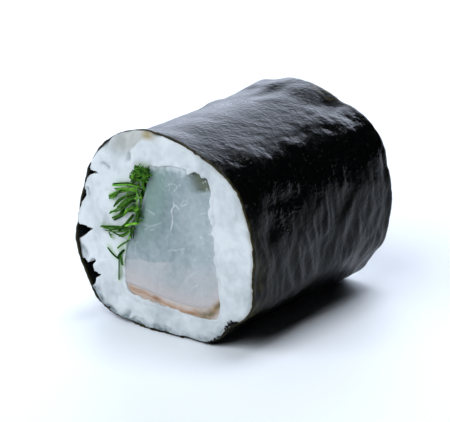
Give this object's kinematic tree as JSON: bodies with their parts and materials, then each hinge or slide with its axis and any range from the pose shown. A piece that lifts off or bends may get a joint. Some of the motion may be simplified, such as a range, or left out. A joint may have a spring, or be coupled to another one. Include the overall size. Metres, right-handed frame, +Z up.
{
  "type": "sushi roll piece",
  "caption": "Cut piece of a thin sushi roll lying on its side: a nori sheet round sushi rice, with a strip of raw white fish, its pink skin side and shredded green herb showing at the cuts.",
  "frame": {"origin": "on the surface that the roll lies on, below the middle of its bounding box", "axes": "+Z up, +Y along the roll away from the shown cut, +X to the right of that cut"},
  "size_m": [0.0288, 0.0336, 0.0267],
  "materials": {
    "nori": "roasted seaweed sheet, damp, black-green with a soft sheen",
    "rice": "cooked short-grain rice, moist and slightly see-through",
    "fish": "raw white fish, see-through grey with pale streaks, wet",
    "fish_skin_side": "pinkish tan flesh of the skin side, wet",
    "herb": "shredded green leaf, matt"
  },
  "bodies": {
    "root": {"nori_wrap": "nori", "sushi_rice": "rice", "bream_flesh": "fish", "bream_skin_side": "fish_skin_side", "herb_shreds": "herb"}
  },
  "joints": []
}
